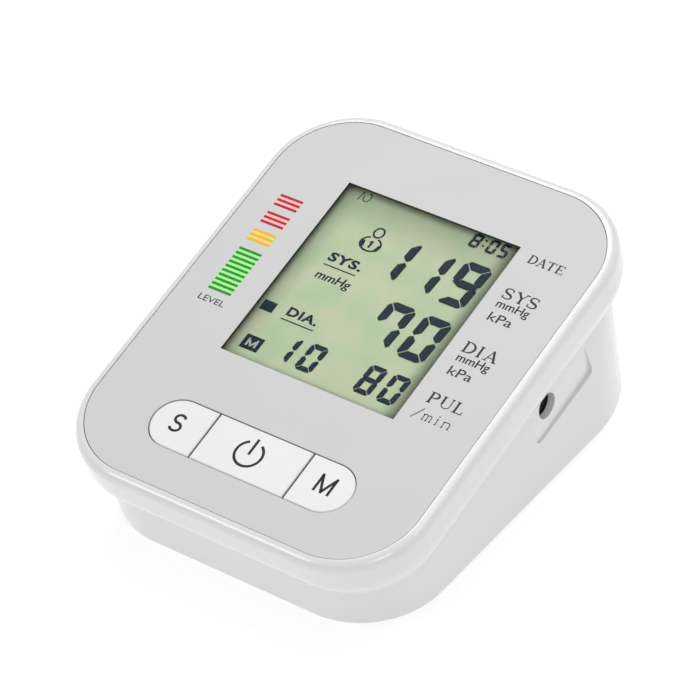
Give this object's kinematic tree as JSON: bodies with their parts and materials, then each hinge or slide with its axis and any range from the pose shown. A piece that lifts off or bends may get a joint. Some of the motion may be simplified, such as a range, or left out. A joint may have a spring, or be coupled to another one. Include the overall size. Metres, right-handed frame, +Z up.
{
  "type": "upper arm blood pressure monitor",
  "caption": "Desk-top wedge-shaped upper arm blood pressure monitor with a sloping display panel, three keys, an air socket, a power jack and a battery bay.",
  "frame": {"origin": "centre of the whole outline, on the table that the rubber feet stand on", "axes": "+Z up, +Y towards the rear (the high end), +X to the user's right"},
  "size_m": [0.0996, 0.1242, 0.0503],
  "materials": {
    "case_white": "satin white ABS",
    "panel_grey": "fine matt grey film",
    "key_white": "smooth white",
    "clear_lens": "clear, polished",
    "lcd_glass": "reflective display glass",
    "reflector": "silvered film",
    "inner_white": "moulded plastic",
    "black_plastic": "moulded black plastic",
    "pcb_green": "solder mask",
    "chip_black": "moulded epoxy",
    "steel": "plain steel",
    "nickel": "nickel plate",
    "brass": "plain",
    "copper": "enamelled windings",
    "ferrite": "sintered ferrite",
    "silicone": "translucent silicone",
    "rubber_dark": "matt",
    "rubber_foot": "matt grey",
    "foam": "open foam",
    "cell_skin": "printed sleeve",
    "wire_skin": "PVC",
    "aluminium_can": "plain"
  },
  "bodies": {
    "case": {"aa_cell_1": "cell_skin", "aa_cell_2": "cell_skin", "aa_cell_3": "cell_skin", "aa_cell_4": "cell_skin", "air_socket": "inner_white", "air_tee": "inner_white", "battery_springs": "nickel", "board_chips": "chip_black", "buzzer": "black_plastic", "capacitors": "aluminium_can", "case_screws": "steel", "contact_plates": "nickel", "crystal": "steel", "dc_jack": "black_plastic", "dc_jack_pin": "nickel", "display_lens": "clear_lens", "face_panel": "panel_grey", "front_housing": "case_white", "jack_leads": "wire_skin", "lcd_frame": "inner_white", "lcd_front_glass": "lcd_glass", "lcd_rear_glass": "lcd_glass", "lcd_reflector": "reflector", "main_pcb": "pcb_green", "motor_bushes": "brass", "motor_can": "steel", "motor_end_cap": "black_plastic", "motor_leads": "wire_skin", "motor_magnets": "ferrite", "pcb_screws": "steel", "pressure_sensor": "inner_white", "pump_body": "black_plastic", "pump_cover": "black_plastic", "pump_cushion": "foam", "pump_diaphragm": "rubber_dark", "pump_tube": "silicone", "pump_yoke": "inner_white", "rear_housing": "case_white", "rubber_feet": "rubber_foot", "sensor_tube": "silicone", "socket_tube": "silicone", "tact_switches": "black_plastic", "valve_bracket": "steel", "valve_coil": "copper", "valve_seat": "inner_white", "valve_tube": "silicone", "wire_sockets": "inner_white", "zebra_strip": "rubber_dark"},
    "set_key": {"set_button": "key_white", "set_plunger": "black_plastic"},
    "power_key": {"power_button": "key_white", "power_plunger": "black_plastic"},
    "memory_key": {"memory_button": "key_white", "memory_plunger": "black_plastic"},
    "battery_door": {"battery_cover": "case_white"},
    "pump_rotor": {"motor_rotor": "copper", "motor_shaft": "steel", "pump_crank": "inner_white"},
    "valve_core": {"valve_plunger": "steel", "valve_pad": "rubber_dark"}
  },
  "joints": [
    {"name": "set_key_press", "type": "slide", "parent": "case", "child": "set_key", "axis": [0, 0.1908, -0.9816], "range_m": [0, 0.0003], "stiffness_N_per_m": 4000, "springref_m": -0.00005},
    {"name": "power_key_press", "type": "slide", "parent": "case", "child": "power_key", "axis": [0, 0.1908, -0.9816], "range_m": [0, 0.0003], "stiffness_N_per_m": 4000, "springref_m": -0.00005},
    {"name": "memory_key_press", "type": "slide", "parent": "case", "child": "memory_key", "axis": [0, 0.1908, -0.9816], "range_m": [0, 0.0003], "stiffness_N_per_m": 4000, "springref_m": -0.00005},
    {"name": "battery_door_swing", "type": "hinge", "parent": "case", "child": "battery_door", "pos_m": [0, 0.0293, 0.0008], "axis": [1, 0, 0], "range_deg": [0, 70]},
    {"name": "pump_rotor_spin", "type": "hinge", "parent": "case", "child": "pump_rotor", "pos_m": [0, 0.041, 0.0176], "axis": [1, 0, 0], "continuous": true},
    {"name": "valve_core_slide", "type": "slide", "parent": "case", "child": "valve_core", "axis": [-1, 0, 0], "range_m": [0, 0.0008], "stiffness_N_per_m": 150, "springref_m": -0.0005}
  ]
}
